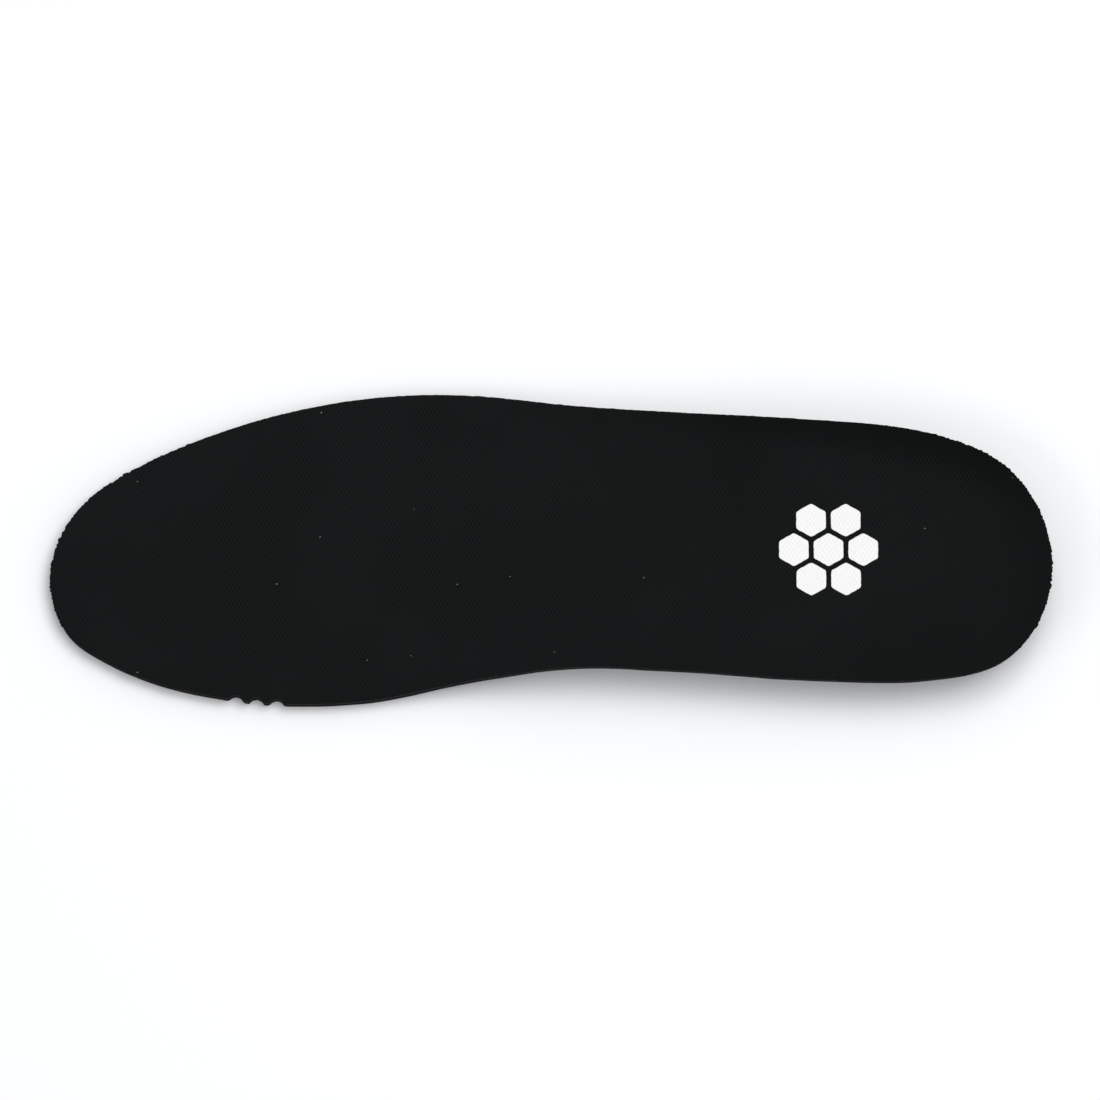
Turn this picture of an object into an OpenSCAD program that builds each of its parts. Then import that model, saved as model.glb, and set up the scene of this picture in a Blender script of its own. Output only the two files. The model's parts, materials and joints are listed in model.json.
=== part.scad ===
// Cushioned insole for a right shoe, laid flat with its print up.
// X runs from the heel (-) to the toe (+), Y from the lateral edge (-) to the medial edge (+), Z up.
// The origin is the middle of the insole's plan box, on the floor that it lies on.

/* [Overall] */
// Length from the heel's rim to the toe
insole_l = 280; // [240:5:310]
// Width of the plan box, across the ball
insole_w = 88.5; // [76:0.5:100]

/* [Layers] */
// Thickness of the whole stack under the forefoot
forefoot_t = 5.5; // [5.3:0.1:8]
// Thickness of the whole stack at the middle of the heel
heel_t = 9; // [8:0.1:12]
// Knitted cover
cover_t = 0.8; // [0.6:0.1:1]
// Soft foam layer laminated under the cover
cushion_t = 1.8; // [1.2:0.1:2]

/* [Heel cup and arch] */
// Height of the cup's rim above the floor
rim_h = 18; // [13:0.5:24]
// Thickness of the trimmed edge at the rim
rim_edge_t = 4; // [3.4:0.1:5]
// How far in from the rim the cup's inner wall reaches, at the back and on the medial side
cup_reach = 13; // [10:0.5:16]
// The same on the lateral side, where the wall is steeper
lateral_reach = 9.5; // [8:0.5:13]
// The outer wall's flare below the rim, as a share of the inner wall's reach
flare_share = 0.7; // [0.5:0.05:0.8]
// How far in from the edge the arch's upper slope reaches
arch_reach = 26; // [18:1:30]

/* [Toe flex] */
// Where the flex line crosses the middle of the insole
flex_x = 34; // [28:1:40]
// Slant of the flex line, further forward on the medial side
flex_slant = 15; // [8:1:18]
// Gap between the two halves of each layer at the flex line
flex_gap = 0.3; // [0.2:0.1:0.6]

/* [Size notches] */
// Number of half-round notches in the medial edge
notch_count = 3; // [1:1:4]
// Distance from one notch to the next
notch_pitch = 5.7; // [5:0.1:8]
// Radius of a notch
notch_r = 2.3; // [1.5:0.1:2.5]

/* [Pads] */
// Half-length of the heel pad
heel_pad_l = 27; // [22:1:29]
// Half-width of the heel pad
heel_pad_w = 20; // [16:1:21]
// Thickness of the heel pad
heel_pad_t = 3.8; // [3:0.1:4.2]
// Half-length of the forefoot pad, across the flex line
ball_pad_l = 23; // [18:1:26]
// Half-width of the forefoot pad, along the flex line
ball_pad_w = 29; // [22:1:30]
// Thickness of the forefoot pad
ball_pad_t = 1.6; // [1.2:0.1:1.7]
// Adhesive disc above each pad
glue_t = 0.15; // [0.1:0.05:0.2]

/* [Heel print] */
// Corner radius of one printed cell
cell_r = 4.8; // [3:0.1:5.5]
// Gap between printed cells
cell_gap = 1.4; // [0.8:0.1:2]
// Thickness of the ink film
ink_t = 0.12; // [0.1:0.01:0.2]

/* [Hidden] */

// Plan outline of a 280 by 88.5 insole: [x, lateral edge, medial edge] from heel to toe.
heel_tip = [-140, 8];
toe_tip = [140, 9.5];
stations = [
    [-136, -8.8, 24.2], [-124, -22.6, 36.3], [-102, -30.5, 40.7], [-72, -33.8, 40.4],
    [-40, -36.4, 38.2], [-8, -39.4, 36.9], [24, -43.2, 39.6], [52, -42.2, 44.2],
    [80, -36.6, 44.6], [107, -26.8, 39.8], [127, -15.4, 31.3], [136.5, -4, 22.6]
];
station_count = len(stations);
control_points = concat(
    [heel_tip], [for (s = stations) [s[0], s[1]]],
    [toe_tip], [for (i = [station_count - 1:-1:0]) [stations[i][0], stations[i][2]]]
);
curve_steps = 3;

// Each surface is sampled on rings at these depths from the edge, towards a spine along the middle.
ring_depths = [0, 2, 4.5, 7.5, 11, 16, 24];
inner_share = 0.9;     // the innermost ring lies this far of the way to the spine
spine_heel_x = -0.35 * insole_l;
spine_toe_x = 0.32 * insole_l;
spine_y = 3;

forefoot_end_x = 35;   // the seat starts to rise behind this
heel_start_x = -50;    // and is level behind this
lateral_wall = [36, -95];   // where the lateral wall starts to rise, and where it is full
medial_wall = [50, -15];    // the same for the medial wall, whose full height is the arch's crest
arch_centre_x = -10;
arch_half_l = 75;
lateral_y = -32;       // the wall is at its steepest beyond this
back_y = 8;            // and at its shallowest beyond this, round the back and along the medial side

notch_first_x = 76.5;
notch_offset = 1;      // a notch's centre lies this far outside the edge
heel_pad_at = [-92, 3];
ball_pad_margin = 1.5; // foam between the flex line and the forefoot pad
ball_pad_y = 9;        // along the flex line, from the middle of the insole
pad_clear = 0.2;       // gap round a pad in its pocket
pad_power = 2.4;       // 2 is an ellipse, more is squarer
pad_sides = 48;
groove_w = 1.6;
groove_depth = 0.8;
groove_pitch = 8;
ring_groove_radii = [6, 12];
print_at = [-78, 1];
past = 1;              // how far a cutting shape runs past what it cuts

// ---- curves ----

function lerp(a, b, t) = a + (b - a) * t;
function ease(t) = let (c = min(1, max(0, t))) c * c * (3 - 2 * c);
function bowl(depth, reach) = pow(max(0, 1 - depth / reach), 2);
function wrap(i, n) = (i + n) % n;

function catmull_rom(a, b, c, d, t) =
    (2 * b + (c - a) * t + (2 * a - 5 * b + 4 * c - d) * t * t + (3 * b - a - 3 * c + d) * t * t * t) / 2;

function smooth_loop(p, steps) = let (n = len(p)) [
    for (i = [0:n - 1], k = [0:steps - 1])
        catmull_rom(p[wrap(i - 1, n)], p[i], p[wrap(i + 1, n)], p[wrap(i + 2, n)], k / steps)
];

raw_outline = smooth_loop(control_points, curve_steps);
raw_low = [min([for (p = raw_outline) p[0]]), min([for (p = raw_outline) p[1]])];
raw_high = [max([for (p = raw_outline) p[0]]), max([for (p = raw_outline) p[1]])];
plan_scale = [insole_l / (raw_high[0] - raw_low[0]), insole_w / (raw_high[1] - raw_low[1])];
function placed(p) = [
    (p[0] - (raw_low[0] + raw_high[0]) / 2) * plan_scale[0],
    (p[1] - (raw_low[1] + raw_high[1]) / 2) * plan_scale[1]
];
outline = [for (p = raw_outline) placed(p)];
outline_count = len(outline);
half_count = outline_count / 2;
ring_count = len(ring_depths) + 1;

// ---- the moulded form, as heights over the plan ----

function spine_point(p) = [min(spine_toe_x, max(spine_heel_x, p[0])), spine_y];
function ring_depth(i, ring) = let (whole = norm(spine_point(outline[i]) - outline[i]))
    ring < len(ring_depths) ? min(ring_depths[ring], inner_share * whole) : inner_share * whole;
function ring_point(i, ring) = let (p = outline[i], s = spine_point(p))
    p + (s - p) * ring_depth(i, ring) / norm(s - p);

function is_medial(i) = i > half_count;
function wall_share(i) = let (x = outline[i][0], w = is_medial(i) ? medial_wall : lateral_wall)
    ease((w[0] - x) / (w[0] - w[1]));
function arch_share(i) = is_medial(i) ? ease(1 - abs(outline[i][0] - arch_centre_x) / arch_half_l) : 0;
function seat_z(x) = lerp(heel_t, forefoot_t, ease((x - heel_start_x) / (forefoot_end_x - heel_start_x)));
function rim_z(i) = lerp(forefoot_t, rim_h, wall_share(i));
function edge_t(i) = lerp(forefoot_t, rim_edge_t, wall_share(i));

function wall_reach(i) = lerp(
    lerp(lateral_reach, cup_reach, ease((outline[i][1] - lateral_y) / (back_y - lateral_y))),
    arch_reach, arch_share(i)
);
function top_z(i, ring) = let (seat = seat_z(ring_point(i, ring)[0]))
    lerp(seat, max(seat, rim_z(i)), bowl(ring_depth(i, ring), wall_reach(i)));
function under_z(i, ring) = (rim_z(i) - edge_t(i)) * bowl(ring_depth(i, ring), flare_share * wall_reach(i));

// ---- shapes ----

function flipped(faces) = [for (f = faces) [f[2], f[1], f[0]]];
function shifted(faces, by) = [for (f = faces) [for (k = f) k + by]];

// Triangles of one surface: bands between the rings, and a strip zipped across the innermost ring.
function surface_faces(n, rings) = let (inner = (rings - 1) * n) [
    for (ring = [0:rings - 2], i = [0:n - 1])
        let (a = ring * n + i, b = ring * n + wrap(i + 1, n)) each [[a, a + n, b], [b, a + n, b + n]],
    for (i = [1:n / 2 - 1]) [inner + i, inner + n - i, inner + i + 1],
    for (i = [0:n / 2 - 2]) [inner + i + 1, inner + wrap(n - i, n), inner + n - i - 1]
];
function edge_faces(n, bottom) = [
    for (i = [0:n - 1]) let (b = wrap(i + 1, n)) each [[i, b, bottom + i], [b, bottom + b, bottom + i]]
];

// The layer between two depths below the top surface. A lower depth of undef runs down to the underside.
module layer(upper, lower) {
    n = outline_count;
    bottom = ring_count * n;
    top_points = [
        for (ring = [0:ring_count - 1], i = [0:n - 1]) [each ring_point(i, ring), top_z(i, ring) - upper]
    ];
    under_points = [
        for (ring = [0:ring_count - 1], i = [0:n - 1])
            [each ring_point(i, ring), is_undef(lower) ? under_z(i, ring) : top_z(i, ring) - lower]
    ];
    top_faces = surface_faces(n, ring_count);
    polyhedron(
        concat(top_points, under_points),
        concat(top_faces, shifted(flipped(top_faces), bottom), edge_faces(n, bottom))
    );
}

// Puts its children's X across the flex line, towards the toe, and their Y along it.
module at_flex_line() {
    translate([flex_x, 0, 0]) rotate(-flex_slant) children();
}

// Everything on one side of the flex line: side is 1 for the toe, -1 for the rear.
module flex_half(side) {
    reach = insole_l;
    at_flex_line()
        translate([side > 0 ? flex_gap / 2 : -reach - flex_gap / 2, -reach / 2, -past])
            cube([reach, reach, rim_h + 2 * past]);
}

function medial_edge_at(x) = let (
    hits = [for (i = [half_count:outline_count - 1])
        let (a = outline[i], b = outline[wrap(i + 1, outline_count)])
            if (b[0] <= x && x < a[0]) lerp(a[1], b[1], (x - a[0]) / (b[0] - a[0]))]
) hits[0];

module size_notches() {
    for (i = [0:notch_count - 1]) {
        x = notch_first_x + i * notch_pitch;
        translate([x, medial_edge_at(x) + notch_offset, -past])
            cylinder(r = notch_r, h = rim_h + 2 * past, $fn = 48);
    }
}

module rear_half() {
    intersection() {
        children();
        flex_half(-1);
    }
}

module toe_half() {
    difference() {
        intersection() {
            children();
            flex_half(1);
        }
        size_notches();
    }
}

function rounded_pad(l, w) = [
    for (k = [0:pad_sides - 1]) let (a = 360 * k / pad_sides, c = cos(a), s = sin(a))
        [l * sign(c) * pow(abs(c), 2 / pad_power), w * sign(s) * pow(abs(s), 2 / pad_power)]
];

module at_ball_pad() {
    at_flex_line() translate([ball_pad_margin + ball_pad_l, ball_pad_y, 0]) children();
}

module heel_pad_shape(h, grow = 0) {
    translate(heel_pad_at) linear_extrude(h) polygon(rounded_pad(heel_pad_l + grow, heel_pad_w + grow));
}

module ball_pad_shape(h, grow = 0) {
    at_ball_pad() linear_extrude(h) polygon(rounded_pad(ball_pad_l + grow, ball_pad_w + grow));
}

module ring_groove(r) {
    difference() {
        cylinder(r = r + groove_w / 2, h = groove_depth + past, $fn = 64);
        cylinder(r = r - groove_w / 2, h = groove_depth + past, $fn = 64);
    }
}

// ---- sub-parts ----

module top_cover() {
    color("#17181a") layer(0, cover_t);
}

module cushion_layer() {
    color("#2b2c2f") layer(cover_t, cover_t + cushion_t);
}

module foam_base() {
    color("#1e1f21") layer(cover_t + cushion_t, undef);
}

module foam_base_rear() {
    difference() {
        rear_half() foam_base();
        translate([0, 0, -past]) heel_pad_shape(heel_pad_t + glue_t + past, pad_clear);
    }
}

module foam_base_toe() {
    difference() {
        toe_half() foam_base();
        translate([0, 0, -past]) ball_pad_shape(ball_pad_t + glue_t + past, pad_clear);
    }
}

module heel_pad() {
    color("#6d7074") difference() {
        heel_pad_shape(heel_pad_t);
        for (r = ring_groove_radii)
            translate([heel_pad_at[0], heel_pad_at[1], -past]) ring_groove(r);
    }
}

module heel_pad_adhesive() {
    color("#c9c4b4") translate([0, 0, heel_pad_t]) heel_pad_shape(glue_t);
}

// The grooves run along the flex line, so that the pad bends with the foam round it.
module forefoot_pad() {
    color("#6d7074") difference() {
        ball_pad_shape(ball_pad_t);
        at_ball_pad()
            for (k = [-2:2])
                translate([k * groove_pitch - groove_w / 2, -ball_pad_w - past, -past])
                    cube([groove_w, 2 * (ball_pad_w + past), groove_depth + past]);
    }
}

module forefoot_pad_adhesive() {
    color("#c9c4b4") translate([0, 0, ball_pad_t]) ball_pad_shape(glue_t);
}

// Seven hexagonal cells, one in the middle and six round it.
module heel_print() {
    pitch = 2 * cell_r * cos(30) + cell_gap;
    color("#f6f7f3") translate([print_at[0], print_at[1], heel_t]) {
        cell();
        for (k = [0:5]) rotate(60 * k) translate([pitch, 0, 0]) cell();
    }
}

module cell() {
    rotate(30) cylinder(r = cell_r, h = ink_t, $fn = 6);
}

rear_half() top_cover();  // top_cover_rear
toe_half() top_cover();  // top_cover_toe
rear_half() cushion_layer();  // cushion_layer_rear
toe_half() cushion_layer();  // cushion_layer_toe
foam_base_rear();
foam_base_toe();
heel_pad();
heel_pad_adhesive();
forefoot_pad();
forefoot_pad_adhesive();
heel_print();
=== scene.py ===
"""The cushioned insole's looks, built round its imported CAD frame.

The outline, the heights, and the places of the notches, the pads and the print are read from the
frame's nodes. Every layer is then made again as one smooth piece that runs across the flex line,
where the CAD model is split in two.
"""

import json
import math
from collections import Counter

import bpy
import numpy as np
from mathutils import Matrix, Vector
from mathutils.bvhtree import BVHTree


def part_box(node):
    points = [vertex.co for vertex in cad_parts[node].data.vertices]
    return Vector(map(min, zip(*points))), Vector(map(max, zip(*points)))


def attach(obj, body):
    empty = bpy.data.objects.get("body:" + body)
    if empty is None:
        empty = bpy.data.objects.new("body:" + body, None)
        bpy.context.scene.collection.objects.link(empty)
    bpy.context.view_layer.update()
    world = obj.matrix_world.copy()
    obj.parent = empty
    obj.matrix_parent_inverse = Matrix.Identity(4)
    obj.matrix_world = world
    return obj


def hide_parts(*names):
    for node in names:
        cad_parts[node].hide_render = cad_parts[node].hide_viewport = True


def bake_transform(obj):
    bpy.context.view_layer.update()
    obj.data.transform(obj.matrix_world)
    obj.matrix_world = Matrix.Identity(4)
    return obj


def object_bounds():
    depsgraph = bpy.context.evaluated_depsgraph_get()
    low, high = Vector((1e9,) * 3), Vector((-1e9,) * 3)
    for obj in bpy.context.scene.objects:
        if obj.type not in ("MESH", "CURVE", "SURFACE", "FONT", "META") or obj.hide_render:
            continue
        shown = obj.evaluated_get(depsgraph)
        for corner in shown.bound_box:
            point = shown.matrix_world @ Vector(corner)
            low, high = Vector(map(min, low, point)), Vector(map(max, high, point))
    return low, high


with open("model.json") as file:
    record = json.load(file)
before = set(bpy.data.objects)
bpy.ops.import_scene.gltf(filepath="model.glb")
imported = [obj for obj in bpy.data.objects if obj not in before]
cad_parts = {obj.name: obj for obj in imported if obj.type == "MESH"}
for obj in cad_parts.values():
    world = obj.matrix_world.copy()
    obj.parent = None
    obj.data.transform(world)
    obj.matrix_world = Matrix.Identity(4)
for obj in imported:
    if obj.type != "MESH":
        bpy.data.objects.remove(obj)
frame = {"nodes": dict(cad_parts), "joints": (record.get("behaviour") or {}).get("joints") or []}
cad_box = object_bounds()

MM = 0.001
LENGTH = cad_box[1].x - cad_box[0].x
FLOOR_Z = cad_box[0].z
COVER = "top_cover_rear", "top_cover_toe"
SOFT_FOAM = "cushion_layer_rear", "cushion_layer_toe"
BASE = "foam_base_rear", "foam_base_toe"

# ---- the flex line, from the joint ----

FLEX = frame["joints"][0]
HINGE = np.array(FLEX["pos_m"])
FORWARD = np.cross([0, 0, 1], FLEX["axis"])  # level, across the flex line, towards the toe


def bends(piece):
    """The piece runs across the flex line. Its place is baked into its mesh; nothing here bends it."""
    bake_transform(piece)


# ---- small helpers ----


def ease(t):
    """0 below 0, 1 above 1, and a smooth step between."""
    t = np.clip(t, 0, 1)
    return t * t * (3 - 2 * t)


def rise(value, start, over):
    """0 up to start, and then a smooth step up to 1, over this much."""
    return ease((value - start) / over)


def fall(value, end, over):
    """0 from end on, and before it a smooth step down from 1, over this much."""
    return ease((end - value) / over)


WAVE_COUNT = 7
WAVELENGTHS = 1.4, 3.2  # the shortest and the longest, in sizes of a bump
WAVE_PEAK = 1.5  # brings most of their sum within -1 to 1


def waves(points, size, seed):
    """Smooth random relief, mostly within -1 to 1, over plan points, with bumps about size across."""
    draw = np.random.default_rng(seed)
    turn = draw.uniform(0, 2 * np.pi, WAVE_COUNT)
    pace = 2 * np.pi / (size * draw.uniform(*WAVELENGTHS, WAVE_COUNT))
    way = np.stack([np.cos(turn), np.sin(turn)]) * pace
    total = np.sin(points[..., :2] @ way + draw.uniform(0, 2 * np.pi, WAVE_COUNT)).sum(axis=-1)
    return total / WAVE_COUNT**0.5 / WAVE_PEAK


# ---- reading the frame ----


def triangles_of(*nodes):
    """The CAD nodes' triangles, as an array of triangle by corner by xyz."""
    found = []
    for name in nodes:
        mesh = frame["nodes"][name].data
        mesh.calc_loop_triangles()
        points = np.array([v.co for v in mesh.vertices])
        found.append(points[[list(t.vertices) for t in mesh.loop_triangles]])
    return np.concatenate(found)


def tree_of(triangles):
    """The triangles, ready for height_at."""
    corners = np.arange(3 * len(triangles)).reshape(-1, 3)
    return BVHTree.FromPolygons(triangles.reshape(-1, 3).tolist(), corners.tolist())


def height_at(tree, x, y, downwards=True):
    """Where a ray straight down, or up, at x and y first meets the tree. It is nan if it meets nothing."""
    way = Vector((0, 0, -1 if downwards else 1))
    hit = tree.ray_cast(Vector((x, y, 0)) - way, way)[0]
    return hit.z if hit else np.nan


SAME_PLACE = 0.05 * MM  # corners nearer than this in plan are one above the other
MOST_RISE = 0.02  # of an upright facet's normal, as a share of its length
AT_FLEX_LINE = 1 * MM  # the facets nearer than this are the walls of the split
OUTLINE_FACET = 3 * MM  # shorter facets are a notch's, or what a cut leaves of the outline's
NOTCH_GAP = 1.1 * MM  # along X, notches are further apart than this, and the corners of one are nearer
NOTCH_CORNERS = 6  # the fewest that make a notch


def upright_facets(triangles):
    """The upright triangles off the flex line, and which plan point each of their corners is at."""
    side = np.roll(triangles, -1, axis=1) - triangles
    normal = np.cross(side[:, 0], side[:, 1])
    upright = np.abs(normal[:, 2]) < MOST_RISE * np.linalg.norm(normal, axis=1)
    on_flex_line = (np.abs((triangles - HINGE) @ FORWARD) < AT_FLEX_LINE).all(axis=1)
    corners = triangles[upright & ~on_flex_line].reshape(-1, 3)
    near = np.linalg.norm(corners[:, None, :2] - corners[None, :, :2], axis=2) < SAME_PLACE
    return corners, near.argmax(axis=1)


def walls_of(triangles):
    """The walls round an edge: their corners, each corner's plan point, and each wall's ends and length."""
    corners, place = upright_facets(triangles)
    facets = {frozenset(row) for row in place.reshape(-1, 3).tolist()}
    ends = [sorted(facet) for facet in facets if len(facet) == 2]
    lengths = [np.linalg.norm(np.subtract(*corners[pair, :2])) for pair in ends]
    return corners, place, list(zip(ends, lengths))


def edge_posts(triangles, shortest, middle):
    """Where two upright facets longer than shortest meet: x, y and lowest and highest z.

    They come in order round the middle, from the heel and along the lateral side first.
    """
    corners, place, walls = walls_of(triangles)
    uses = Counter(k for ends, length in walls if length > shortest for k in ends)
    posts = []
    for k in (k for k, n in uses.items() if n == 2):
        heights = corners[place == k, 2]
        posts.append((corners[k, 0], corners[k, 1], heights.min(), heights.max()))
    posts = np.array(posts)
    posts = posts[np.argsort(np.arctan2(posts[:, 1] - middle[1], posts[:, 0] - middle[0]))]
    return np.roll(posts, -int(posts[:, 0].argmin()), axis=0)


def lowest_at(posts, triangles):
    """The lowest height that the triangles' corners have at each post."""
    corners = triangles.reshape(-1, 3)
    near = np.linalg.norm(posts[:, None, :2] - corners[None, :, :2], axis=2) < SAME_PLACE
    return np.where(near, corners[None, :, 2], np.inf).min(axis=1)


def circle_through(points):
    """Centre and radius of the circle that fits the points best."""
    terms = np.column_stack([2 * points, np.ones(len(points))])
    x, y, rest = np.linalg.lstsq(terms, (points**2).sum(axis=1), rcond=None)[0]
    return x, y, math.sqrt(rest + x * x + y * y)


def notches_in(triangles):
    """Centre and radius of each round notch, from the short upright facets that it is made of."""
    corners, _, walls = walls_of(triangles)
    short_ends = sorted({k for ends, length in walls if length < OUTLINE_FACET for k in ends})
    plan = corners[short_ends, :2]
    plan = plan[np.argsort(plan[:, 0])]
    runs = np.split(plan, np.flatnonzero(np.diff(plan[:, 0]) > NOTCH_GAP) + 1)
    return [circle_through(run) for run in runs if len(run) >= NOTCH_CORNERS]


# ---- curves through what was read ----

SAMPLES = 20  # for each post, to find the stations with


def spline_bends(values, step):
    """How much the smooth closed curve through the rows of values, which are step apart, bends at each."""
    count = len(values)
    before = np.roll(step, 1)
    slope = (np.roll(values, -1, axis=0) - values) / step[:, None]
    system = np.diag(2 * (step + before))
    for i in range(count):
        system[i, (i + 1) % count] += step[i]
        system[i, i - 1] += before[i]
    return np.linalg.solve(system, 6 * (slope - np.roll(slope, 1, axis=0)))


def station_places(reach, x, spacing):
    """Distances round a closed curve, about spacing(x) apart. x is given at the distances in reach."""
    fine = np.linspace(0, reach[-1], SAMPLES * (len(reach) - 1))
    pace = np.cumsum(1 / spacing(np.interp(fine, reach, x)))
    number = 2 * int(pace[-1] * fine[1] / 2)
    return np.interp(np.linspace(pace[0], pace[-1], number, endpoint=False), pace, fine)


def loop_spline(values, spacing):
    """A smooth closed curve through the rows of values, read about spacing(x) apart. x and y come first."""
    step = np.linalg.norm(np.roll(values, -1, axis=0)[:, :2] - values[:, :2], axis=1)
    reach = np.concatenate([[0], np.cumsum(step)])
    bend = spline_bends(values, step)
    at = station_places(reach, np.append(values[:, 0], values[0, 0]), spacing)
    k = np.clip(np.searchsorted(reach, at, side="right") - 1, 0, len(values) - 1)
    n = (k + 1) % len(values)
    a, b, h = (reach[k + 1] - at)[:, None], (at - reach[k])[:, None], step[k, None]
    return (
        (bend[k] * a**3 + bend[n] * b**3) / (6 * h)
        + (values[k] / h - bend[k] * h / 6) * a
        + (values[n] / h - bend[n] * h / 6) * b
    )


def across(depths, values, at):
    """One smooth curve per row through values at depths, read at the depths in the same row of at.

    It is level at the last depth.
    """
    step = np.diff(depths, axis=1)
    slope = np.diff(values, axis=1) / step
    shared = slope[:, :-1] * step[:, 1:] + slope[:, 1:] * step[:, :-1]
    tangent = np.zeros_like(values)
    tangent[:, 1:-1] = shared / (step[:, :-1] + step[:, 1:])
    tangent[:, 0] = 2 * slope[:, 0] - tangent[:, 1]
    k = (at[:, :, None] >= depths[:, None, 1:-1]).sum(axis=2)
    row = np.arange(len(at))[:, None]
    h = step[row, k]
    t = (at - depths[row, k]) / h
    later = t * t * (3 - 2 * t)
    return (
        values[row, k] * (1 - later)
        + values[row, k + 1] * later
        + h * t * (1 - t) * ((1 - t) * tangent[row, k] - t * tangent[row, k + 1])
    )


# ---- the moulded form ----

SPINE_Y = 3 * MM  # the spine is the line along the middle that the rings shrink towards
SPINE_ENDS = -0.35 * LENGTH, 0.32 * LENGTH
READ_DEPTHS = np.array([2, 4.5, 7.5, 11, 16, 24]) * MM  # where the frame's rings of corners are
READ_SHARE = 0.9  # and the innermost one's share of the way to the spine
FLAT_BELOW_DEPTH = 15 * MM  # further in than this, the underside is flat
FLAT_STARTS = 1.1 * FLAT_BELOW_DEPTH  # where the underside's curve down to the floor ends

EDGE_DEPTHS = np.array([0, 0.1, 0.22, 0.38, 0.6, 0.9, 1.3, 1.8, 2.4, 3.1, 4.0]) * MM
COVER_STEPS, SOLE_STEPS = 34, 72  # more rings, further in
HIDDEN_EDGE_DEPTHS = np.array([0, 0.9, 2.4, 4.0]) * MM  # where nothing shows, fewer rings do
HIDDEN_STEPS = 14
RING_SHARE, SOLE_SHARE = 0.94, 0.985  # the innermost ring's share of the way to the spine


def to_spine(points):
    """The unit vector in plan from each point to the spine, and how far it is."""
    target = np.column_stack([np.clip(points[:, 0], *SPINE_ENDS), np.full(len(points), SPINE_Y)])
    whole = np.linalg.norm(target - points[:, :2], axis=1)
    return (target - points[:, :2]) / whole[:, None], whole


def top_depths(whole):
    """The depths at which the top is read, where it is this far from the edge to the spine."""
    return np.column_stack([np.tile(READ_DEPTHS, (len(whole), 1)), READ_SHARE * whole, whole])


def under_depths(whole):
    """The depths at which the underside is read."""
    return np.tile(READ_DEPTHS[READ_DEPTHS < FLAT_BELOW_DEPTH], (len(whole), 1))


def read_heights(tree, posts, depths, downwards):
    """Heights of the frame's surface, a row for each post and a column for each depth in from it."""
    inward, _ = to_spine(posts)
    found = np.empty(depths.shape)
    for i, j in np.ndindex(*depths.shape):
        x, y = posts[i, :2] + inward[i] * depths[i, j]
        found[i, j] = height_at(tree, x, y, downwards)
    for column in found.T:  # a ray into the slit at the flex line meets nothing
        missed = np.isnan(column)
        column[missed] = np.interp(np.flatnonzero(missed), np.flatnonzero(~missed), column[~missed])
    return found


class Form:
    """The insole's outer form, as rows of stations round the edge and curves in towards the spine."""

    def __init__(self, spacing):
        cover, base = triangles_of(*COVER), triangles_of(*BASE)
        posts = edge_posts(cover, OUTLINE_FACET, (0, SPINE_Y))
        _, whole = to_spine(posts)
        top = read_heights(tree_of(cover), posts, top_depths(whole), True)
        under = read_heights(tree_of(base), posts, under_depths(whole), False)
        ends = np.column_stack([posts[:, [0, 1, 3]], lowest_at(posts, base)])
        rows = loop_spline(np.column_stack([ends, top, under]), spacing)
        self.edge, rim, foot, top, under = np.split(rows, np.cumsum([2, 1, 1, top.shape[1]]), axis=1)
        self.inward, self.whole = to_spine(self.edge)
        zero, floor = np.zeros_like(rim), np.full_like(rim, FLOOR_Z)
        self.top_depths = np.column_stack([zero, top_depths(self.whole)])
        self.top_heights = np.column_stack([rim, top])
        self.under_depths = np.column_stack(
            [zero, under_depths(self.whole), zero + FLAT_STARTS, self.whole]
        )
        self.under_heights = np.column_stack([foot, under, floor, floor])
        self.notch = notch_depth(self.edge, self.inward, notches_in(cover))

    def depths(self, near_edge, steps, share):
        """Depths of rings: those near the edge, then steps more up to a share of the way to the spine."""
        edge_part = near_edge + self.notch[:, None] * (1 - near_edge / near_edge[-1])
        t = np.arange(1, steps + 1) / steps
        rest = near_edge[-1] + (share * self.whole[:, None] - near_edge[-1]) * t
        return np.column_stack([edge_part, rest])

    def hidden_depths(self):
        """Depths of the rings of a surface that another layer covers."""
        return self.depths(HIDDEN_EDGE_DEPTHS, HIDDEN_STEPS, RING_SHARE)

    def top(self, depths):
        return across(self.top_depths, self.top_heights, depths)

    def under(self, depths):
        return np.maximum(across(self.under_depths, self.under_heights, depths), FLOOR_Z)


def notch_depth(edge, inward, notches):
    """How far in each station is cut back to lie on a notch's wall."""
    depth = np.zeros(len(edge))
    for x, y, r in notches:
        offset = edge - (x, y)
        ahead = (offset * inward).sum(axis=1)
        room = r * r - (offset**2).sum(axis=1)
        depth = np.where(room > 0, np.sqrt(np.maximum(room + ahead**2, 0)) - ahead, depth)
    return depth


# ---- building meshes ----

CREASE = math.radians(45)  # edges that turn by more than this are sharp


def new_piece(name, points, faces, materials, slots=()):
    """A smooth-shaded mesh object. slots says which of the materials each face has."""
    mesh = bpy.data.meshes.new(name)
    mesh.from_pydata(points.tolist(), [], faces)
    mesh.polygons.foreach_set("use_smooth", np.ones(len(mesh.polygons), bool))
    for material in materials:
        mesh.materials.append(material)
    if len(slots):
        mesh.polygons.foreach_set("material_index", slots)
    piece = bpy.data.objects.new(name, mesh)
    bpy.context.scene.collection.objects.link(piece)
    return piece


def finish_mesh(piece):
    """Marks the piece's sharp edges, and keeps its rest shape for the materials."""
    mesh = piece.data
    mesh.update()
    mesh.set_sharp_from_angle(angle=CREASE)
    if "rest" not in mesh.attributes:
        points = np.empty(3 * len(mesh.vertices), np.float32)
        mesh.vertices.foreach_get("co", points)
        keep_rest(mesh, points)


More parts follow.
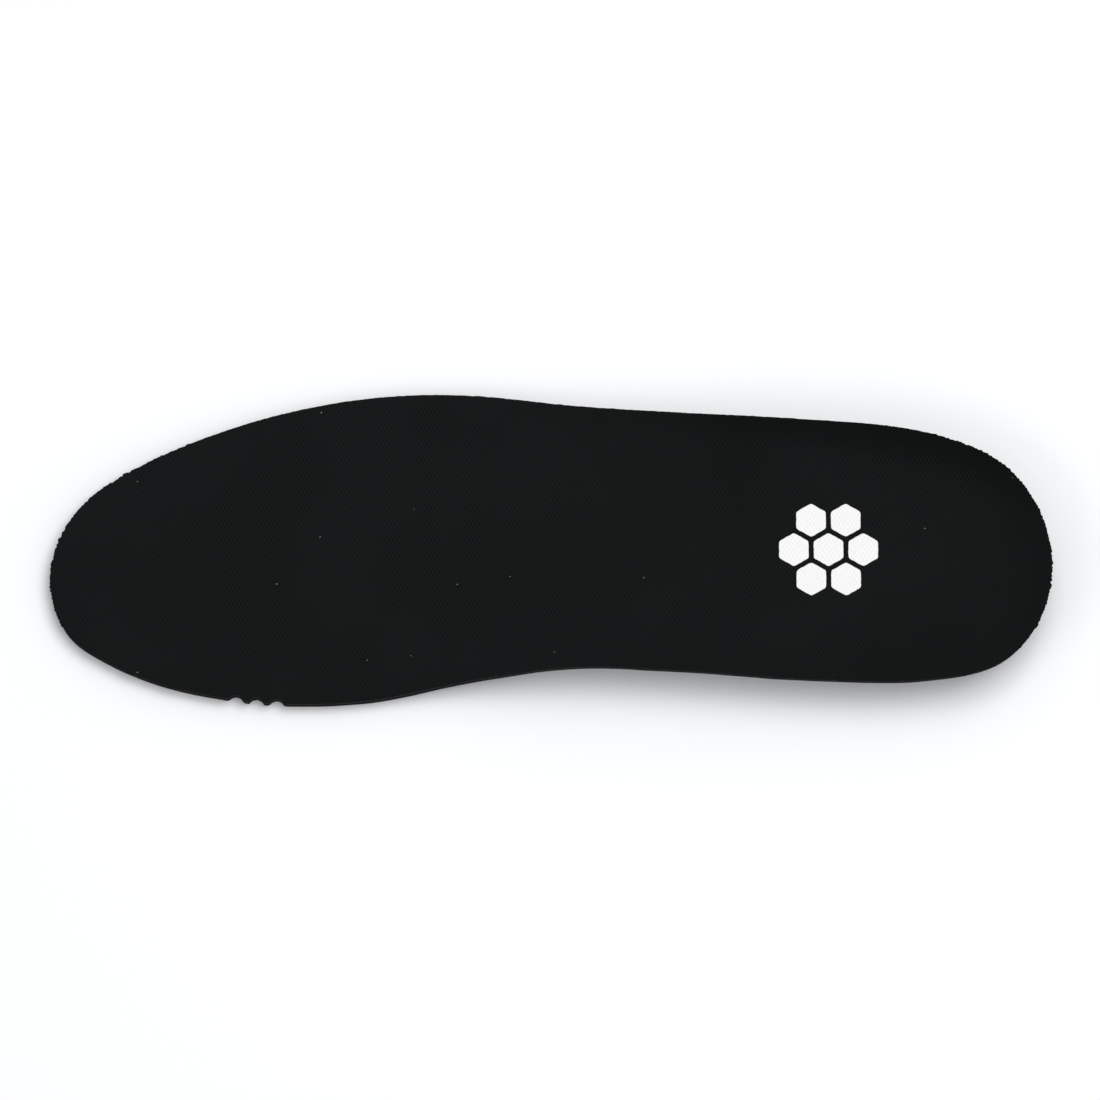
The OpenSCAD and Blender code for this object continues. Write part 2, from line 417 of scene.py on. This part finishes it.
def keep_rest(mesh, points):
    """Keeps the points that a material's pattern is placed by, which stay the same when the piece bends."""
    mesh.attributes.new("rest", "FLOAT_VECTOR", "POINT").data.foreach_set("vector", points.ravel())


def band_faces(first, second, count):
    """Quads between the closed rings of count points that start at these two indices."""
    a = np.arange(count)
    b = (a + 1) % count
    return np.column_stack([first + a, first + b, second + b, second + a]).tolist()


def fan_faces(first, hub, count, upwards):
    """Triangles from the ring of count points that starts at first to the point at hub."""
    a = np.arange(count)
    b = (a + 1) % count
    one, other = (a, b) if upwards else (b, a)
    return np.column_stack([first + one, first + other, np.full_like(a, hub)]).tolist()


def strip_faces(x, first, upwards):
    """Triangles across a narrow closed ring, from its lowest x, where it starts, to its highest."""
    count, far = len(x), int(x.argmax())
    near_side = list(range(far + 1))
    far_side = [0, *range(count - 1, far - 1, -1)]
    faces, i, j = [], 0, 0
    while i < len(near_side) - 1 or j < len(far_side) - 1:
        a, b = near_side[i], far_side[j]
        near_left, far_left = near_side[i + 1 :], far_side[j + 1 :]
        if not far_left or (near_left and x[near_left[0]] <= x[far_left[0]]):
            c = near_left[0]
            i += 1
        else:
            c = far_left[0]
            j += 1
        if len({a, b, c}) == 3:
            faces.append([first + k for k in ((a, c, b) if upwards else (b, c, a))])
    return faces


def shell(name, rings, materials, second=()):
    """A closed piece through rings of points, out from the middle of its top and back in below.

    The bands of faces after the rings whose numbers are in second have the second material.
    """
    count = len(rings[0])
    faces = strip_faces(rings[0][:, 0], 0, True)
    slots = [0] * len(faces)
    for row in range(len(rings) - 1):
        faces += band_faces((row + 1) * count, row * count, count)
        slots += [int(row in second)] * count
    last = strip_faces(rings[-1][:, 0], (len(rings) - 1) * count, False)
    return new_piece(name, np.concatenate(rings), faces + last, materials, slots + [0] * len(last))


# ---- the layers ----

COVER_T = 0.8 * MM  # the layers' thicknesses
SOFT_T = 1.8 * MM
MOVED_REACH = 0.7 * MM  # how far in a layer's surface moves with its cut edge

SIDE_SPACING, LESS_SPACING = 0.7, 0.36  # mm between stations, and how much less where they are closest
ENDS_FROM, ENDS_OVER = 88 * MM, 15 * MM  # from the middle, along X
NOTCHES_X, NOTCHES_REACH, NOTCHES_OVER = 82 * MM, 16 * MM, 6 * MM
FOAM_COARSER = 1.6  # the foams' stations are further apart than the knit's


def station_spacing(x):
    """Distance between stations: closest round the heel, the toe and the notches."""
    toe_or_heel = rise(np.abs(x), ENDS_FROM, ENDS_OVER)
    notches = fall(np.abs(x - NOTCHES_X), NOTCHES_REACH, NOTCHES_OVER)
    return (SIDE_SPACING - LESS_SPACING * np.maximum(toe_or_heel, notches)) * MM


def near_cut(depths, reach):
    """1 at the cut edge, where each row of depths starts, and fading away over about reach."""
    return np.exp(-(depths - depths[:, :1]) / reach)


def rings_of(form, depths, heights, out):
    """Rings of points from the edge inwards, at these depths and heights, with the cut edge moved out."""
    moved = depths - out * near_cut(depths, MOVED_REACH)
    plan = form.edge[:, None] + form.inward[:, None] * moved[..., None]
    return np.concatenate([plan, heights[..., None]], axis=2).transpose(1, 0, 2)


def side_rows(upper, lower, inward, count, bulge):
    """Rows of points down a cut edge, between the rings above and below it, with a bulge outwards."""
    rows = []
    for t in np.arange(1, count + 1) / (count + 1):
        row = upper + (lower - upper) * t
        row[:, :2] -= inward * bulge * 4 * t * (1 - t)
        rows.append(row)
    return rows


RAGGED_SEED = 11
LOOP_PITCH = 1.15 * MM  # of the knit's cut loops, along its edge
LOOP_DRIFT, DRIFT_SIZE = 1.5, 9 * MM  # in radians, and the distance over which it comes and goes
LOOP_SHARE, FRAY_SPREAD = 0.6, 0.5  # of the raggedness
SIDE_RAGGED, MORE_RAGGED = 0.09, 0.16  # mm along the sides, and how much more at the heel and toe
RAGGED_FROM, RAGGED_OVER = 90 * MM, 25 * MM  # from the middle, along X
SNAG_SIZE, SNAG_OUT = 2.2 * MM, 0.3 * MM


def ragged_edge(form, seed):
    """How far out each station of the knit's cut edge stands: loops, fray, and snags at heel and toe."""
    draw = np.random.default_rng(seed)
    step = np.linalg.norm(np.roll(form.edge, -1, axis=0) - form.edge, axis=1)
    along = np.cumsum(step)
    loops = np.abs(np.sin(np.pi * along / LOOP_PITCH + LOOP_DRIFT * waves(form.edge, DRIFT_SIZE, seed)))
    fray = draw.normal(0, FRAY_SPREAD, len(along))
    fray = (fray + np.roll(fray, 1)) / 2
    ends = rise(np.abs(form.edge[:, 0]), RAGGED_FROM, RAGGED_OVER)
    snags = np.maximum(waves(form.edge, SNAG_SIZE, seed + 1), 0) ** 2
    ragged = (SIDE_RAGGED + MORE_RAGGED * ends) * (LOOP_SHARE * loops + fray) * MM
    return (ragged + SNAG_OUT * ends * snags)[:, None]


def uneven_cut(form, height, size, seed, back):
    """How far out each station of a foam's cut edge stands: mostly set back, by uneven amounts."""
    return height * (waves(form.edge, size, seed)[:, None] - back)


PUCKERS = (0.05 * MM, 13 * MM, 3), (0.02 * MM, 4 * MM, 4)  # height, size and seed


def puckers(rings):
    """Slight unevenness of the cover over the foam."""
    return sum(height * waves(rings, size, seed) for height, size, seed in PUCKERS)


def unrolled(rings, inward):
    """Where rings of cloth are when their slopes are laid flat, outwards from the innermost ring."""
    step = np.diff(rings, axis=0)
    extra = np.linalg.norm(step, axis=2) - np.linalg.norm(step[..., :2], axis=2)
    outwards = np.concatenate([np.cumsum(extra[::-1], axis=0)[::-1], np.zeros((1, len(inward)))])
    flat = rings.copy()
    flat[..., :2] -= inward * outwards[..., None]
    return flat


COVER_DROOP, DROOP_REACH = 0.28 * MM, 0.35 * MM  # of the knit's top at its cut edge


def knit_cover(form, look):
    """The knit, puckered on top and ragged at its edge. Its pattern is placed by the unrolled cloth."""
    depths = form.depths(EDGE_DEPTHS, COVER_STEPS, RING_SHARE)
    out = ragged_edge(form, RAGGED_SEED)
    top = rings_of(form, depths, form.top(depths) - COVER_DROOP * near_cut(depths, DROOP_REACH), out)
    top[..., 2] += puckers(top)
    hidden = form.hidden_depths()
    below = rings_of(form, hidden, form.top(hidden) - COVER_T, out)
    side = side_rows(top[0], below[0], form.inward, count=2, bulge=0.07 * MM)
    cover = shell("knit_cover", [*top[::-1], *side, *below], [look])
    keep_rest(cover.data, np.concatenate([*unrolled(top, form.inward)[::-1], *side, *below]))
    return cover


def soft_layer(form, look):
    """The soft foam between the knit and the base. Only its cut edge shows."""
    hidden = form.hidden_depths()
    out = uneven_cut(form, height=0.08 * MM, size=5 * MM, seed=21, back=1.5)
    top = rings_of(form, hidden, form.top(hidden) - COVER_T, out)
    below = rings_of(form, hidden, form.top(hidden) - COVER_T - SOFT_T, out)
    side = side_rows(top[0], below[0], form.inward, count=5, bulge=0.12 * MM)
    return shell("soft_foam_layer", [*top[::-1], *side, *below], [look])


def groove(distance, width, depth, lip=0.25 * MM):
    """The depth of a round-lipped groove at this distance from its middle line."""
    return depth * fall(np.abs(distance), width / 2 + lip, 2 * lip)


def repeated(distance, pitch):
    """The distance from the nearest of a row of lines that are pitch apart."""
    return (distance + pitch / 2) % pitch - pitch / 2


# The grooves of the underside
SOLE_DEPTH, SOLE_LIP = 0.7 * MM, 0.5 * MM
TOE_PITCH, TOE_WIDTH = 6 * MM, 1.6 * MM
TOE_GROOVES_FROM = 53 * MM  # ahead of the flex line
WAIST_PITCH, WAIST_WIDTH = 5 * MM, 1.8 * MM
WAIST_BACK, WAIST_FRONT = -58 * MM, 20 * MM  # along X
TOE_BORDER, WAIST_BORDER = 7 * MM, 15 * MM  # how wide the plain border is


def sole_relief(plan, depth):
    """How far up the moulded pattern of the underside goes: grooves across the toe and along the waist."""
    x, y = plan[..., 0], plan[..., 1]
    ahead = (plan - HINGE[:2]) @ FORWARD[:2]
    toe = rise(ahead, TOE_GROOVES_FROM, over=2 * MM) * rise(depth, TOE_BORDER, over=3 * MM)
    along_waist = rise(x, WAIST_BACK, over=6 * MM) * fall(x, WAIST_FRONT, over=6 * MM)
    waist = along_waist * rise(depth, WAIST_BORDER, over=2 * MM)
    toe_grooves = groove(repeated(ahead, TOE_PITCH), TOE_WIDTH, SOLE_DEPTH, SOLE_LIP)
    waist_grooves = groove(repeated(y - SPINE_Y, WAIST_PITCH), WAIST_WIDTH, SOLE_DEPTH, SOLE_LIP)
    return toe_grooves * toe + waist_grooves * waist


SOLE_ROUND, ROUND_REACH = 0.35 * MM, 0.4 * MM  # of the base's lower edge


def foam_base(form, skin, cut, pockets):
    """The base: a cut wall all round, a moulded underside, and pockets for the pads."""
    hidden = form.hidden_depths()
    out = uneven_cut(form, height=0.06 * MM, size=8 * MM, seed=22, back=1.2)
    top = rings_of(form, hidden, form.top(hidden) - COVER_T - SOFT_T, out)
    depths = form.depths(EDGE_DEPTHS, SOLE_STEPS, SOLE_SHARE)
    below = rings_of(form, depths, form.under(depths), out)
    round_off = SOLE_ROUND * near_cut(depths, ROUND_REACH)
    below[..., 2] += round_off.T + sole_relief(below[..., :2], depths.T)
    side = side_rows(top[0], below[0], form.inward, count=4, bulge=0.06 * MM)
    wall = range(len(top) - 1, len(top) + len(side))
    base = shell("moulded_foam_base", [*top[::-1], *side, *below], [skin, cut], wall)
    for pocket in pockets:
        cut_away(base, pocket)
    return base


def cut_away(piece, cutter):
    """Takes the cutter's shape out of the piece, and removes the cutter."""
    boolean = piece.modifiers.new("pocket", "BOOLEAN")
    boolean.operation, boolean.solver, boolean.object = "DIFFERENCE", "MANIFOLD", cutter
    bpy.context.view_layer.update()
    cut_piece = piece.evaluated_get(bpy.context.evaluated_depsgraph_get())
    cut_mesh = bpy.data.meshes.new_from_object(cut_piece)
    piece.modifiers.clear()
    piece.data = cut_mesh
    bpy.data.objects.remove(cutter)


# ---- the pads under the heel and the ball ----

DISC_FACET = 0.2 * MM  # a disc's facets are longer than this
DISC_SPACING = 0.45 * MM
DISC_MIDDLE = 0.02  # the innermost ring's size, as a share of the last one that insets give
PAD_EDGE = np.array([0, 0.08, 0.2, 0.36, 0.6, 0.9]) * MM
PAD_ROUND = 0.55 * MM
PAD_STEPS = 110
FLAT_EDGE = np.array([0, 1]) * MM
FLAT_STEPS = 20


class Disc:
    """A pad's plan, from the adhesive disc above it: stations round its edge, and its middle."""

    def __init__(self, node):
        low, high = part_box(node)
        self.under_z, self.over_z = low.z, high.z
        self.middle = np.array((low + high) / 2)[:2]
        posts = edge_posts(triangles_of(node), DISC_FACET, self.middle)
        self.edge = loop_spline(posts, lambda x: np.full_like(x, DISC_SPACING))[:, :2]

    def rings(self, insets, steps, z, grow=0):
        """Rings from the edge inwards: at these insets, then steps more to near the middle."""
        away = self.edge - self.middle
        reach = np.linalg.norm(away, axis=1)
        shares = 1 - (insets[:, None] - grow) / reach
        rest = shares[-1] * np.linspace(1, DISC_MIDDLE, steps + 1)[1:, None]
        plan = self.middle + away * np.concatenate([shares, rest])[..., None]
        return np.concatenate([plan, np.full((*plan.shape[:2], 1), z)], axis=2)


def flat_disc(name, disc, low, high, materials, grow=0):
    """The disc's plan between two heights, larger all round by grow."""
    upper, lower = (disc.rings(FLAT_EDGE, FLAT_STEPS, z, grow) for z in (high, low))
    return shell(name, [*upper[::-1], *lower], materials)


def gel_pad(name, disc, relief, look):
    """A pad with a rounded lower rim, and grooves as deep as relief(plan) in its underside."""
    upper = disc.rings(FLAT_EDGE, FLAT_STEPS, disc.under_z)
    lower = disc.rings(PAD_EDGE, PAD_STEPS, FLOOR_Z)
    inset = np.minimum(PAD_EDGE, PAD_ROUND)
    lift = PAD_ROUND - np.sqrt(PAD_ROUND**2 - (PAD_ROUND - inset) ** 2)
    lower[: len(lift), :, 2] += lift[:, None]
    lower[..., 2] += relief(lower[..., :2])
    return shell(name, [*upper[::-1], *lower], [look])


PAD_GROOVE = 1.6 * MM, 0.8 * MM  # width and depth
RING_RADII = 6 * MM, 12 * MM
BALL_GROOVE_PITCH = 8 * MM
BALL_GROOVES = 5


def ring_grooves(disc):
    """The heel pad's relief: round grooves about its middle."""

    def relief(plan):
        radius = np.linalg.norm(plan - disc.middle, axis=-1)
        return sum(groove(radius - ring, *PAD_GROOVE) for ring in RING_RADII)

    return relief


def cross_grooves(disc):
    """The ball pad's relief: straight grooves along the flex line's direction."""

    def relief(plan):
        along = (plan - disc.middle) @ FORWARD[:2]
        among = np.abs(along) < BALL_GROOVES / 2 * BALL_GROOVE_PITCH
        return groove(repeated(along, BALL_GROOVE_PITCH), *PAD_GROOVE) * among

    return relief


# ---- the heel print ----

INK_OVER, INK_UNDER = 0.1 * MM, 0.04 * MM  # how far the ink stands over the knit, and reaches into it
INK_ROUND = 0.012  # share of a cell's radius over which its rim rounds off
CELL_STATIONS = 120
# The sizes of the rings in a cell's top, as shares of its outline
CELL_SHARES = np.array([1, 0.995, 0.985, 0.965, 0.93, 0.88, 0.78, 0.66, 0.54, 0.42, 0.3, 0.18, 0.06])
HIDDEN_SHARES = CELL_SHARES[::4]  # of the rings in its underside
CELL_SEED = 40
CORNER_POWER = 22  # the higher, the sharper
RIM_UNEVEN, RIM_WAVE = 0.05 * MM, 0.8 * MM  # height and size of a cell's small bumps
SIXTHS = np.arange(6) * np.pi / 3


def cell_layout():
    """The seven cells' centres, and their radius, from the box of the CAD node that holds them all."""
    low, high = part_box("heel_print")
    middle = np.array((low + high) / 2)[:2]
    half_x, half_y = np.array((high - low) / 2)[:2]
    flat = math.cos(math.pi / 6)
    radius = (half_y - flat * half_x) / (1 - flat * flat)
    pitch = half_x - flat * radius
    offsets = [(0, 0), *zip(pitch * np.cos(SIXTHS), pitch * np.sin(SIXTHS))]
    return [middle + offset for offset in offsets], radius


def cell_outline(radius, seed):
    """A hexagon with flats facing along X and slightly soft corners, as ink prints on a knit."""
    angle = np.arange(CELL_STATIONS) * 2 * np.pi / CELL_STATIONS - np.pi
    way = np.column_stack([np.cos(angle), np.sin(angle)])
    reach = np.maximum(np.cos(angle[:, None] - SIXTHS), 0) ** CORNER_POWER
    size = radius * math.cos(math.pi / 6) * reach.sum(axis=1) ** (-1 / CORNER_POWER)
    size += RIM_UNEVEN * waves(size[:, None] * way, RIM_WAVE, seed)
    return size[:, None] * way


def cell_rings(knit, centre, outline):
    """A cell's rings, over its top from the middle and back below it, laid on the knit."""
    over = INK_OVER * (1 - np.exp(-(1 - CELL_SHARES) / INK_ROUND))
    levels = [*zip(CELL_SHARES, over)][::-1] + [(share, -INK_UNDER) for share in HIDDEN_SHARES]
    rings = []
    for share, lift in levels:
        plan = centre + outline * share
        rings.append(np.column_stack([plan, [height_at(knit, x, y) + lift for x, y in plan]]))
    return rings


def printed_cells(cover, look):
    """Seven cells of ink on the cover, in the places of the CAD node's cells."""
    knit = BVHTree.FromObject(cover, bpy.context.evaluated_depsgraph_get())
    centres, radius = cell_layout()
    points, faces = [], []
    for number, centre in enumerate(centres):
        rings = cell_rings(knit, centre, cell_outline(radius, CELL_SEED + number))
        first = sum(len(ring) for ring in points)
        last = first + (len(rings) - 1) * CELL_STATIONS
        for start in range(first, last, CELL_STATIONS):
            faces += band_faces(start + CELL_STATIONS, start, CELL_STATIONS)
        hub = last + CELL_STATIONS
        faces += fan_faces(first, hub, CELL_STATIONS, True)
        faces += fan_faces(last, hub + 1, CELL_STATIONS, False)
        points += [*rings, [rings[0].mean(axis=0), rings[-1].mean(axis=0)]]
    return new_piece("heel_print_ink", np.concatenate(points), faces, [look])


# ---- materials ----

# Each look's darkest and lightest colour
KNIT_BLACKS = (0.0018, 0.0022, 0.0023), (0.0068, 0.0083, 0.0086)
SOFT_FOAM_GREYS = (0.014, 0.0145, 0.015), (0.036, 0.037, 0.038)
BASE_FOAM_BLACKS = (0.006, 0.006, 0.0065), (0.014, 0.014, 0.015)
SKIN_GREYS = (0.01, 0.01, 0.011), (0.026, 0.027, 0.029)
GEL_GREYS = (0.12, 0.13, 0.14), (0.19, 0.2, 0.21)
GLUE_TANS = (0.5, 0.47, 0.38), (0.62, 0.58, 0.48)
INK_WHITES = (0.66, 0.66, 0.64), (0.84, 0.84, 0.82)
LINT_GREY = 0.3, 0.3, 0.29, 1
FLOOR_WHITE = 0.86, 0.86, 0.86, 1


class Look:
    """A material: a Principled surface and the procedural nodes that feed it, placed by the rest shape."""

    def __init__(self, name, constants):
        self.material = bpy.data.materials.new(name)
        self.material.use_nodes = True
        self.tree = self.material.node_tree
        self.skin = self.tree.nodes["Principled BSDF"]
        for socket, value in constants.items():
            self.skin.inputs[socket].default_value = value
        self.rest = self.node("ShaderNodeAttribute", attribute_name="rest").outputs["Vector"]
        self.x, self.y, _ = self.node("ShaderNodeSeparateXYZ", {0: self.rest}).outputs

    def node(self, kind, inputs=None, **settings):
        made = self.tree.nodes.new(kind)
        for key, value in settings.items():
            setattr(made, key, value)
        for socket, value in (inputs or {}).items():
            if isinstance(value, bpy.types.NodeSocket):
                self.tree.links.new(value, made.inputs[socket])
            else:
                made.inputs[socket].default_value = value
        return made

    def math(self, operation, a, b=0.0, c=0.0):
        return self.node("ShaderNodeMath", {0: a, 1: b, 2: c}, operation=operation).outputs[0]

    def scaled(self, value, factor, plus=0.0):
        return self.math("MULTIPLY_ADD", value, factor, plus)

    def weighted(self, start, *terms):
        """start, plus each term's value times its weight."""
        total = start
        for value, weight in terms:
            total = self.scaled(value, weight, total)
        return total

    def noise(self, size, detail=2.0):
        inputs = {"Vector": self.rest, "Scale": 1 / size, "Detail": detail}
        return self.node("ShaderNodeTexNoise", inputs).outputs[0]

    def cells(self, size, **settings):
        inputs = {"Vector": self.rest, "Scale": 1 / size}
        return self.node("ShaderNodeTexVoronoi", inputs, **settings)

    def clamped(self, value):
        return self.node("ShaderNodeClamp", {0: value}).outputs[0]

    def ramp(self, tone, dark, light):
        """dark where tone is 0, light where it is 1, and in between elsewhere."""
        ramp = self.node("ShaderNodeValToRGB", {0: tone})
        for stop, shade in zip(ramp.color_ramp.elements, (dark, light)):
            stop.color = (*shade, 1)
        return ramp.outputs[0]

    def base_colour(self, value):
        self.tree.links.new(value, self.skin.inputs["Base Color"])

    def colour(self, tone, dark, light):
        self.base_colour(self.ramp(tone, dark, light))

    def roughness(self, value):
        self.tree.links.new(value, self.skin.inputs["Roughness"])

    def bump(self, height, distance):
        made = self.node("ShaderNodeBump", {"Height": height, "Distance": distance, "Strength": 1.0})
        self.tree.links.new(made.outputs[0], self.skin.inputs["Normal"])


STITCH = 1.18 * MM, 1.84 * MM  # the mesh knit's repeat along and across the foot
STITCH_DRIFT, DRIFT_SPAN = (2.2, -1.8), 2.6 * MM  # in radians of the repeat, over about this distance


def stitches(look):
    """The mesh knit's staggered eyelets: 1 in the middle of each, -1 between them."""
    drift = look.noise(DRIFT_SPAN)
    rows = [
        look.math("COSINE", look.weighted(0.0, (drift, turn), (axis, 2 * math.pi / pitch)))
        for axis, pitch, turn in zip((look.x, look.y), STITCH, STITCH_DRIFT)
    ]
    return look.math("MULTIPLY", *rows)


def knit_look():
    """Black mesh knit: eyelets that show more in some places than others, fuzzy yarn and a little lint."""
    surface = {"Specular IOR Level": 0.09, "Sheen Weight": 0.01, "Sheen Roughness": 0.4}
    look = Look("black_mesh_knit", surface)
    depth = look.clamped(look.scaled(look.noise(26 * MM), 4.5, -1.5))
    eyelets = look.math("MULTIPLY", stitches(look), look.scaled(depth, 0.82, 0.18))
    yarn = look.noise(0.32 * MM, 3.0)
    patches = look.noise(38 * MM, 3.0)
    # Painted shade: the eyelets' middles, where the bump sinks them, are also darker in colour; the stitch
    # pattern itself is real
    tone = look.weighted(-0.05, (patches, 0.5), (yarn, 0.5), (eyelets, -0.34))
    knit = look.ramp(tone, *KNIT_BLACKS)
    look.base_colour(look.node("ShaderNodeMixRGB", {0: lint(look), 1: knit, 2: LINT_GREY}).outputs[0])
    look.roughness(look.scaled(yarn, 0.2, 0.75))
    look.bump(look.scaled(eyelets, -0.6, yarn), 0.16 * MM)
    return look.material


LINT_CELL = 13 * MM  # there is at most one speck in each cell of about this size
LINT_NONE = 0.83  # the share of the cells that have no speck
LINT_RADIUS, LINT_UNEVEN = 0.018, 0.012  # a speck's size, and how uneven it is, as shares of a cell
LINT_FAINTEST = 0.1


def lint(look):
    """How much lint covers the knit: up to 1 on a few small specks, faint or bright, and 0 elsewhere."""
    cell = look.cells(LINT_CELL, voronoi_dimensions="2D")
    away = look.scaled(look.noise(0.5 * MM), LINT_UNEVEN, cell.outputs["Distance"])
    red, green, _ = look.node("ShaderNodeSeparateColor", {0: cell.outputs["Color"]}).outputs
    chosen = look.math("GREATER_THAN", red, LINT_NONE)
    bright = look.math("MULTIPLY", chosen, look.scaled(green, 1 - LINT_FAINTEST, LINT_FAINTEST))
    return look.math("MULTIPLY", look.math("LESS_THAN", away, LINT_RADIUS), bright)


def foam_look(name, dark, light):
    """The open cells of cut foam."""
    look = Look(name, {"Specular IOR Level": 0.02})
    pores = look.cells(0.42 * MM).outputs["Distance"]
    patches = look.noise(9 * MM)
    # Painted shade: the pores' hollows, where the bump sinks them, are also darker in colour; the patches
    # are the foam's own tone
    look.colour(look.weighted(0.7, (patches, 0.5), (pores, -0.9)), dark, light)
    look.roughness(look.scaled(patches, 0.1, 0.82))
    look.bump(pores, -0.12 * MM)
    return look.material


def skin_look():
    """The moulded foam's closed skin, with a fine leathery grain."""
    look = Look("moulded_foam_skin", {"Specular IOR Level": 0.35})
    grain = look.cells(0.9 * MM, feature="SMOOTH_F1").outputs["Distance"]
    patches = look.noise(24 * MM, 4.0)
    look.colour(look.weighted(0.1, (grain, -0.5), (patches, 1.2)), *SKIN_GREYS)
    look.roughness(look.scaled(patches, 0.25, 0.45))
    look.bump(grain, 0.2 * MM)
    return look.material


def gel_look():
    """Cloudy grey gel, slightly translucent."""
    surface = {"Specular IOR Level": 0.5, "Subsurface Weight": 0.15, "Subsurface Scale": 2 * MM}
    look = Look("gel_pad", surface)
    look.colour(look.noise(7 * MM, 3.0), *GEL_GREYS)
    look.roughness(look.scaled(look.noise(1.2 * MM), 0.2, 0.3))
    look.bump(look.noise(0.9 * MM), 0.02 * MM)
    return look.material


def glue_look():
    """Dried, uneven adhesive."""
    look = Look("dried_adhesive", {"Specular IOR Level": 0.4})
    look.colour(look.noise(3 * MM), *GLUE_TANS)
    look.roughness(look.scaled(look.noise(2 * MM), 0.3, 0.4))
    look.bump(look.noise(1.5 * MM), 0.05 * MM)
    return look.material


def ink_look():
    """Matt white ink that the knit shows through faintly."""
    look = Look("white_ink", {"Specular IOR Level": 0.25})
    eyelets = stitches(look)
    wear = look.noise(1.1 * MM, 3.0)
    look.colour(look.weighted(0.35, (wear, 0.5), (eyelets, -0.25)), *INK_WHITES)
    look.roughness(look.scaled(wear, 0.2, 0.55))
    look.bump(look.scaled(eyelets, -0.3, wear), 0.04 * MM)
    return look.material


def floor_look():
    """Plain matt white, since the floor is only the stage."""
    look = Look("pale_floor", {"Specular IOR Level": 0.15, "Roughness": 0.7, "Base Color": FLOOR_WHITE})
    return look.material


# ---- putting the insole together ----

PAD_CLEAR = 0.2 * MM  # between a pad and its pocket's wall
BELOW_FLOOR = FLOOR_Z - 1 * MM  # a pocket's cutter goes right out of the base

fine_form = Form(station_spacing)
foam_form = Form(lambda x: FOAM_COARSER * station_spacing(x))
heel_disc = Disc("heel_pad_adhesive")
ball_disc = Disc("forefoot_pad_adhesive")

gel, glue = gel_look(), glue_look()
cover = knit_cover(fine_form, knit_look())
soft = soft_layer(foam_form, foam_look("soft_foam_cut", *SOFT_FOAM_GREYS))
pockets = [
    flat_disc("pocket", disc, BELOW_FLOOR, disc.over_z, [], PAD_CLEAR) for disc in (heel_disc, ball_disc)
]
base = foam_base(foam_form, skin_look(), foam_look("base_foam_cut", *BASE_FOAM_BLACKS), pockets)
heel_pad = gel_pad("heel_gel_pad", heel_disc, ring_grooves(heel_disc), gel)
ball_pad = gel_pad("forefoot_gel_pad", ball_disc, cross_grooves(ball_disc), gel)
heel_glue = flat_disc("heel_pad_glue", heel_disc, heel_disc.under_z, heel_disc.over_z, [glue])
ball_glue = flat_disc("forefoot_pad_glue", ball_disc, ball_disc.under_z, ball_disc.over_z, [glue])
ink = printed_cells(cover, ink_look())

# Each piece, its material slot, the CAD nodes that it stands for, and its body if it doesn't run across the
# flex line
PIECES = (
    (cover, "knit_cover", COVER, None),
    (soft, "soft_foam", SOFT_FOAM, None),
    (base, "moulded_foam", BASE, None),
    (heel_pad, "gel_pad", ["heel_pad"], "rearfoot"),
    (heel_glue, "adhesive", ["heel_pad_adhesive"], "rearfoot"),
    (ball_pad, "gel_pad", ["forefoot_pad"], None),
    (ball_glue, "adhesive", ["forefoot_pad_adhesive"], None),
    (ink, "print_ink", ["heel_print"], "rearfoot"),
)
for piece, material_slot, nodes, body in PIECES:
    finish_mesh(piece)
    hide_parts(*nodes)
    if body:
        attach(piece, body)
    else:
        bends(piece)

# ---- floor, light and camera ----

FLOOR_HALF = 2.5
SKY_COLOUR, SKY_STRENGTH = (0.95, 0.97, 1, 1), 0.62
AZIMUTH, ELEVATION = math.radians(180), math.radians(78)  # nearly overhead, from the arch side
FRAME_WIDTH = 1.104 * LENGTH
FOCAL_LENGTH, SENSOR_WIDTH = 300, 36  # mm
NEAREST, FARTHEST = 0.05, 20
AIM = Vector((0, -0.8 * MM, 0))


def turned_to(thing, place, target):
    """Puts a light or camera at place, looking at target."""
    thing.location = place
    thing.rotation_euler = (Vector(target) - Vector(place)).to_track_quat("-Z", "Y").to_euler()
    bpy.context.scene.collection.objects.link(thing)


def soft_light(name, place, size, power):
    """A square light at place, facing the insole."""
    light = bpy.data.lights.new(name, "AREA")
    light.size, light.energy = size, power
    turned_to(bpy.data.objects.new(name, light), place, (0, 0, 0))


def camera_at(azimuth, elevation):
    """A camera at these angles that takes in the frame's width at the insole."""
    data = bpy.data.cameras.new("camera")
    data.lens, data.sensor_width = FOCAL_LENGTH, SENSOR_WIDTH
    data.clip_start, data.clip_end = NEAREST, FARTHEST
    level = math.cos(elevation)
    back = Vector((math.sin(azimuth) * level, -math.cos(azimuth) * level, math.sin(elevation)))
    camera = bpy.data.objects.new("camera", data)
    turned_to(camera, AIM + back * (FRAME_WIDTH * FOCAL_LENGTH / SENSOR_WIDTH), AIM)
    return camera


floor_corners = [(x * FLOOR_HALF, y * FLOOR_HALF, FLOOR_Z) for x, y in ((-1, -1), (1, -1), (1, 1), (-1, 1))]
new_piece("floor", np.array(floor_corners), [[0, 1, 2, 3]], [floor_look()])

world = bpy.data.worlds.new("studio")
world.use_nodes = True
world.node_tree.nodes["Background"].inputs["Color"].default_value = SKY_COLOUR
world.node_tree.nodes["Background"].inputs["Strength"].default_value = SKY_STRENGTH
bpy.context.scene.world = world
soft_light("overhead", place=(-0.28, -0.2, 1.15), size=0.8, power=9)
soft_light("side", place=(0.9, 0.7, 1.1), size=0.7, power=3)

bpy.context.scene.camera = camera_at(AZIMUTH, ELEVATION)
bpy.context.scene.view_settings.view_transform = "Standard"
